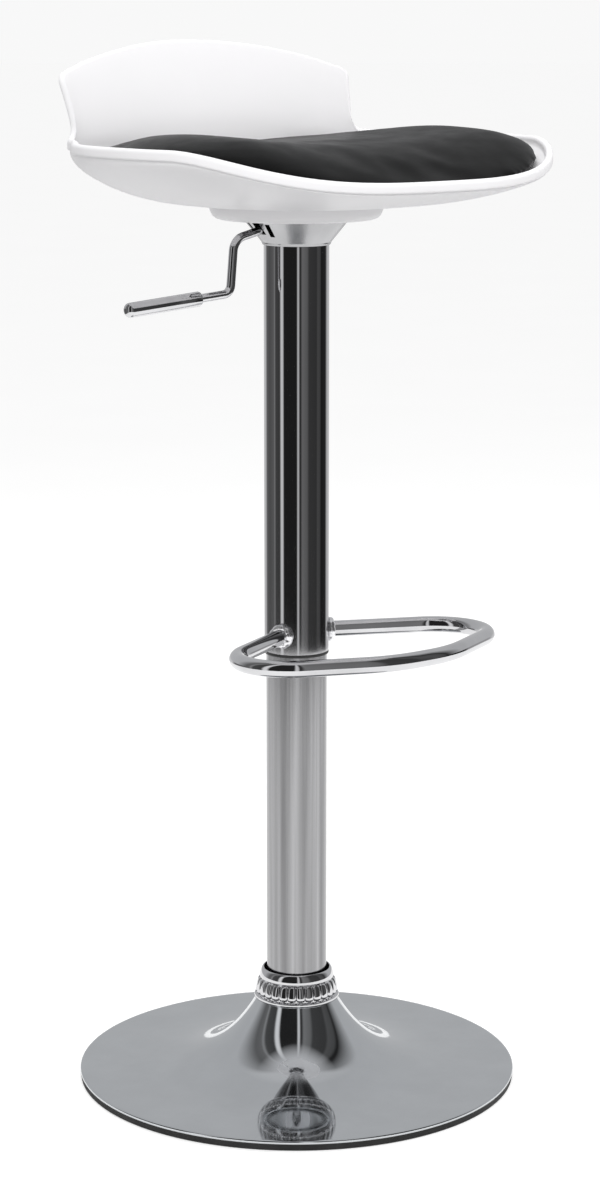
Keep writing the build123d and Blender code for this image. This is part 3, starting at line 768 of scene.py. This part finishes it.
PAD_INSET = 11.0
PAD_REAR_POWER = 2.3
PAD_RISE = 3.0
PAD_CLEARANCE = 1.5
PAD_THICKNESS = 8.0
PAD_CROWN = 12.5
CROWN_REACH = 145.0
REAR_START = 40.0
REAR_SPAN = 110.0
REAR_DROP = 5.0
EDGE_LIFT = 0.5
PAD_COLUMNS = 120
PAD_TURNS = [4, 8, 13, 19, 25, 32, 39, 46, 53, 59, 65, 70, 75, 80, 85, 90]


def pad_radius(angle):
    """Plan radius of the pad, which stays a plain oval where the rim has its wings."""
    return min(plan_radius(angle), oval_radius(angle, PAD_REAR_POWER)) - PAD_INSET


def pad_top(x, forward):
    """Height of the pad's top: crowned towards its sides, and lower towards the back."""
    angle = math.degrees(math.atan2(abs(x), forward - WAIST))
    share = min(1.0, math.hypot(x, forward - WAIST) / pad_radius(angle))
    crown = (1 - share ** 6) * (0.5 + PAD_CROWN * min(1.0, (x / CROWN_REACH) ** 2))
    rearward = min(1.0, max(0.0, (REAR_START - forward) / REAR_SPAN))
    drop = REAR_DROP * rearward * rearward * (3 - 2 * rearward)
    return bowl_height(forward) + PAD_THICKNESS + crown - drop


def pad_bottom(angle, radius):
    """Height just above the bowl's inside."""
    whole = plan_radius(angle) - LIP
    share = min(1.0, max(0.0, (radius - FLOOR_RADIUS) / (whole - FLOOR_RADIUS)))
    return bowl_point(angle, math.degrees(math.asin(share)), LIP, WALL).z + PAD_CLEARANCE


def pad_point(angle, turn, below):
    """A point of the pad's top or underside at a turn from its middle, 0, to its edge, 90 degrees."""
    share = math.sin(math.radians(turn)) ** (1 / 3)
    lift = math.cos(math.radians(turn)) ** (1 / 3)
    radius = pad_radius(angle) * share
    x = radius * math.sin(math.radians(angle))
    forward = WAIST + radius * math.cos(math.radians(angle))
    edge = bowl_height(forward) + EDGE_LIFT
    if below:
        low = min(pad_bottom(angle, radius), edge - 1.0)
        z = edge - (edge - low) * lift
    else:
        z = edge + (pad_top(x, forward) - PAD_RISE - edge) * lift
    return Vector((x, -forward, z))


def pad_start():
    """The closed shape that the pad is puffed from."""
    rows = [(turn, False) for turn in PAD_TURNS] + [(turn, True) for turn in PAD_TURNS[-2::-1]]
    angles = [i * 360.0 / PAD_COLUMNS - 180 for i in range(PAD_COLUMNS)]
    vertices = [pad_point(angle, turn, below) * MM for turn, below in rows for angle in angles]
    faces = []
    for j in range(len(rows) - 1):
        here = j * PAD_COLUMNS
        there = here + PAD_COLUMNS
        for i in range(PAD_COLUMNS):
            n = (i + 1) % PAD_COLUMNS
            faces.append((here + i, here + n, there + n, there + i))
    faces.append(tuple(range(PAD_COLUMNS)))
    last = (len(rows) - 1) * PAD_COLUMNS
    faces.append(tuple(range(last + PAD_COLUMNS - 1, last - 1, -1)))
    return mesh_object("seat_pad", vertices, faces, LEATHER)


def only_active(piece):
    for other in bpy.context.selected_objects:
        other.select_set(False)
    piece.select_set(True)
    bpy.context.view_layer.objects.active = piece


PAD_VOXEL = 0.005
PAD_PRESSURE = 4.0
PAD_FRAMES = 20
CAP_TOP = 0.0035
CAP_EDGE = 0.0015
CAP_BELOW = 0.0004
SMOOTH_PASSES = 16


def remesh(piece, size):
    only_active(piece)
    modifier = piece.modifiers.new("even", "REMESH")
    modifier.mode = "VOXEL"
    modifier.voxel_size = size
    modifier.use_smooth_shade = True
    bpy.ops.object.modifier_apply(modifier=modifier.name)


def puff(piece):
    """Fills the piece with Blender's cloth pressure, and keeps each point within a cap of where it began."""
    start = [v.co.copy() for v in piece.data.vertices]
    upness = [v.normal.z for v in piece.data.vertices]
    only_active(piece)
    modifier = piece.modifiers.new("air", "CLOTH")
    cloth = modifier.settings
    cloth.quality = 6
    cloth.mass = 0.3
    cloth.tension_stiffness = 60
    cloth.compression_stiffness = 60
    cloth.shear_stiffness = 30
    cloth.bending_stiffness = 20.0
    cloth.use_pressure = True
    cloth.uniform_pressure_force = PAD_PRESSURE
    cloth.effector_weights.gravity = 0.0
    modifier.collision_settings.use_self_collision = False
    scene = bpy.context.scene
    scene.frame_start = 1
    scene.frame_end = PAD_FRAMES
    for step in range(1, PAD_FRAMES + 1):
        scene.frame_set(step)
    puffed = piece.evaluated_get(bpy.context.evaluated_depsgraph_get())
    ends = [v.co.copy() for v in puffed.data.vertices]
    piece.modifiers.remove(modifier)
    scene.frame_set(1)
    for vertex, begin, end, up in zip(piece.data.vertices, start, ends, upness):
        move = end - begin
        side = max(0.0, 1 - abs(up) * 1.4)
        cap = CAP_EDGE * side + (CAP_TOP if up > 0 else CAP_BELOW) * (1 - side)
        length = move.length
        if length > 1e-9:
            vertex.co = begin + move * (cap * math.tanh(length / cap) / length)


def make_pad():
    piece = pad_start()
    remesh(piece, PAD_VOXEL)
    puff(piece)
    smooth = piece.modifiers.new("even_out", "SMOOTH")
    smooth.factor = 0.5
    smooth.iterations = SMOOTH_PASSES
    only_active(piece)
    bpy.ops.object.modifier_apply(modifier=smooth.name)
    finer = piece.modifiers.new("finer", "SUBSURF")
    finer.levels = 1
    finer.render_levels = 1
    bpy.ops.object.modifier_apply(modifier=finer.name)
    for face in piece.data.polygons:
        face.use_smooth = True
    finish_piece(piece, "seat", "black_leather", "cushion_cover", "cushion_foam")


# ---- floor, light and camera, in metres ---------------------------------------------------------

# The direction from the stool to the camera, in plan.
VIEW_X = -0.616
VIEW_Y = -0.788
VIEW_BEARING = math.atan2(VIEW_Y, VIEW_X)
VIEW_DISTANCE = 2.740
VIEW_HEIGHT = 1.020
VIEW_PITCH = 11.4
VIEW_TRIM = 0.067
FRAME_HEIGHT = 36.0
FOCAL_SHARE = 3000.0 / 1187.0

FLOOR_HEIGHT = -0.0005
FLOOR_NEAR = 1.9
FLOOR_FAR = 40.0
FLOOR_GLOW = 0.36
FLOOR_EXTRA = 0.14

SKY = 0.94
MATT_LIGHT = 0.72
CEILING = (0.6, 0.6, 0.61, 1)
REAR_WALL = (0.545, 0.55, 0.56, 1)
# What a shiny surface sees at each bearing in degrees from the camera: the angle, and how pale it is.
WORLD_BANDS = [
    (-180, 0.75), (-140, 0.70), (-128, 0.16), (-108, 0.12), (-88, 0.16), (-84, 0.30), (-79, 0.08),
    (-61, 0.06), (-56, 0.85), (-50, 0.85), (-45, 0.02), (1, 0.02), (4, 0.7), (8, 0.7), (11, 0.03),
    (15, 0.05), (20, 0.22), (38, 0.16), (45, 0.06), (75, 0.05), (80, 0.10), (92, 0.08), (97, 0.02),
    (124, 0.03), (136, 0.65), (180, 0.75),
]


def floor_disc(name, outer, inner, material, count=96):
    """A flat disc, or a ring if inner isn't 0, just under the stool."""
    turns = [2 * math.pi * i / count for i in range(count)]
    vertices = [(outer * math.cos(a), outer * math.sin(a), FLOOR_HEIGHT) for a in turns]
    if inner:
        vertices += [(inner * math.cos(a), inner * math.sin(a), FLOOR_HEIGHT) for a in turns]
        faces = [(i, (i + 1) % count, count + (i + 1) % count, count + i) for i in range(count)]
    else:
        faces = [tuple(range(count))]
    mesh = bpy.data.meshes.new(name)
    mesh.from_pydata(vertices, [], faces)
    mesh.materials.append(material)
    made = bpy.data.objects.new(name, mesh)
    bpy.context.scene.collection.objects.link(made)
    return made


def floor_paint():
    """Matt pale paint that glows a little in reflections, and a little more to the camera."""
    made = Nodes("studio_floor")
    made.colour(made.noise(3.0, detail=3.0), grey(0.60), grey(0.61))
    made.set(Roughness=0.9, Specular_IOR_Level=0.0, Emission_Color=(1.0, 1.0, 1.0, 1.0))
    glow = made.add("ShaderNodeMath", operation="MULTIPLY_ADD")
    made.join(made.add("ShaderNodeLightPath").outputs["Is Diffuse Ray"], glow.inputs[0])
    glow.inputs[1].default_value = -FLOOR_GLOW
    glow.inputs[2].default_value = FLOOR_GLOW
    direct = made.add("ShaderNodeMath", operation="MULTIPLY_ADD")
    made.join(made.add("ShaderNodeLightPath").outputs["Is Camera Ray"], direct.inputs[0])
    direct.inputs[1].default_value = FLOOR_EXTRA
    made.join(glow.outputs[0], direct.inputs[2])
    made.join(direct.outputs[0], made.shader.inputs["Emission Strength"])
    return made.material


class World:
    """The surroundings: pale to the eye and to matt surfaces, and a banded studio to anything shiny."""

    def __init__(self):
        world = bpy.data.worlds.new("studio")
        bpy.context.scene.world = world
        world.use_nodes = True
        self.tree = world.node_tree
        self.tree.nodes.clear()
        toward = self.add("ShaderNodeSeparateXYZ")
        self.join(self.add("ShaderNodeTexCoord").outputs["Generated"], toward.inputs[0])
        self.x, self.y, self.height = toward.outputs

    def add(self, kind):
        return self.tree.nodes.new(kind)

    def join(self, output, socket):
        self.tree.links.new(output, socket)

    def math(self, operation, a, b, clamp=False):
        node = self.add("ShaderNodeMath")
        node.operation = operation
        node.use_clamp = clamp
        for socket, value in zip(node.inputs, (a, b)):
            if isinstance(value, (int, float)):
                socket.default_value = value
            else:
                self.join(value, socket)
        return node.outputs[0]

    def rise(self, value, start, length):
        """0 up to start, then 1 from start + length."""
        return self.math("DIVIDE", self.math("SUBTRACT", value, start), length, clamp=True)

    def bands(self):
        """The grey at each bearing from the camera."""
        turned = self.math("SUBTRACT", self.math("ARCTAN2", self.y, self.x), VIEW_BEARING)
        share = self.math("FRACT", self.math("ADD", self.math("DIVIDE", turned, 2 * math.pi), 2.5), 0.0)
        node = self.add("ShaderNodeValToRGB")
        for angle, level in WORLD_BANDS[1:-1]:
            node.color_ramp.elements.new((angle + 180) / 360)
        for stop, (angle, level) in zip(node.color_ramp.elements, WORLD_BANDS):
            stop.position = (angle + 180) / 360
            stop.color = (level, level, level * 1.01, 1)
        self.join(share, node.inputs["Fac"])
        return node.outputs["Color"]

    def mix(self, factor, colour, other):
        """Turns a colour into another, fixed one by a factor."""
        node = self.add("ShaderNodeMix")
        node.data_type = "RGBA"
        self.join(factor, node.inputs["Factor"])
        self.join(colour, node.inputs["A"])
        node.inputs["B"].default_value = other
        return node.outputs["Result"]

    def light(self, strength, colour=None):
        node = self.add("ShaderNodeBackground")
        node.inputs["Color"].default_value = (1.0, 1.0, 1.0, 1)
        node.inputs["Strength"].default_value = strength
        if colour:
            self.join(colour, node.inputs["Color"])
        return node.outputs[0]

    def choose(self, ray, usual, special):
        """The special light for one kind of ray, and the usual one for the others."""
        node = self.add("ShaderNodeMixShader")
        self.join(self.add("ShaderNodeLightPath").outputs[ray], node.inputs[0])
        self.join(usual, node.inputs[1])
        self.join(special, node.inputs[2])
        return node.outputs[0]


def studio_world():
    world = World()
    along_x = world.math("MULTIPLY", world.x, VIEW_X)
    forward = world.math("ADD", along_x, world.math("MULTIPLY", world.y, VIEW_Y))
    rear = world.rise(world.math("MULTIPLY", forward, -1.0), 0.1, 0.35)
    above = world.rise(world.height, -0.07, 0.05)
    studio = world.mix(world.math("MULTIPLY", rear, above), world.bands(), REAR_WALL)
    studio = world.mix(world.rise(world.height, 0.90, 1 / 12), studio, CEILING)
    matt = world.choose("Is Glossy Ray", world.light(MATT_LIGHT), world.light(1.0, studio))
    seen = world.choose("Is Camera Ray", matt, world.light(SKY))
    world.join(seen, world.add("ShaderNodeOutputWorld").inputs["Surface"])


def aim(thing, place, target):
    thing.location = place
    thing.rotation_euler = (Vector(target) - Vector(place)).to_track_quat("-Z", "Y").to_euler()


def area_light(name, place, target, size, power):
    """A soft rectangle of light that nothing shiny mirrors."""
    lamp = bpy.data.lights.new(name, "AREA")
    lamp.shape = "RECTANGLE"
    lamp.size, lamp.size_y = size
    lamp.energy = power
    made = bpy.data.objects.new(name, lamp)
    bpy.context.scene.collection.objects.link(made)
    aim(made, place, target)
    made.visible_camera = False
    made.visible_glossy = False


def light_and_floor():
    paint = floor_paint()
    floor_disc("floor_near", FLOOR_NEAR, 0, paint)
    far = floor_disc("floor_far", FLOOR_FAR, FLOOR_NEAR, paint)
    far.visible_glossy = False
    studio_world()
    area_light("key", (-1.3, -1.7, 2.6), (0, 0, 0.6), (1.6, 1.6), 46)
    area_light("fill", (2.2, -1.2, 1.8), (0, 0, 0.6), (1.8, 1.8), 20)
    area_light("top", (0.5, 1.3, 2.4), (0, 0, 0.85), (1.6, 0.7), 22)


def place_camera():
    bpy.context.scene.view_settings.view_transform = "Standard"
    lens = bpy.data.cameras.new("photo_view")
    lens.sensor_fit = "VERTICAL"
    lens.sensor_height = FRAME_HEIGHT
    lens.lens = FOCAL_SHARE * FRAME_HEIGHT
    camera = bpy.data.objects.new("photo_view", lens)
    bpy.context.scene.collection.objects.link(camera)
    camera.location = (VIEW_X * VIEW_DISTANCE, VIEW_Y * VIEW_DISTANCE, VIEW_HEIGHT)
    heading = math.degrees(math.atan2(VIEW_X, -VIEW_Y))
    camera.rotation_euler = (math.radians(90 - VIEW_PITCH), 0, math.radians(heading - VIEW_TRIM))
    bpy.context.scene.camera = camera


dress_cad_nodes()
make_base()
make_rubber_band()
make_collar()
make_lower_column()
make_upper_tube()
make_footrest()
make_weld_beads()
make_lever_rod()
make_lever_grip()
make_shell()
make_boss()
make_pad()
light_and_floor()
place_camera()
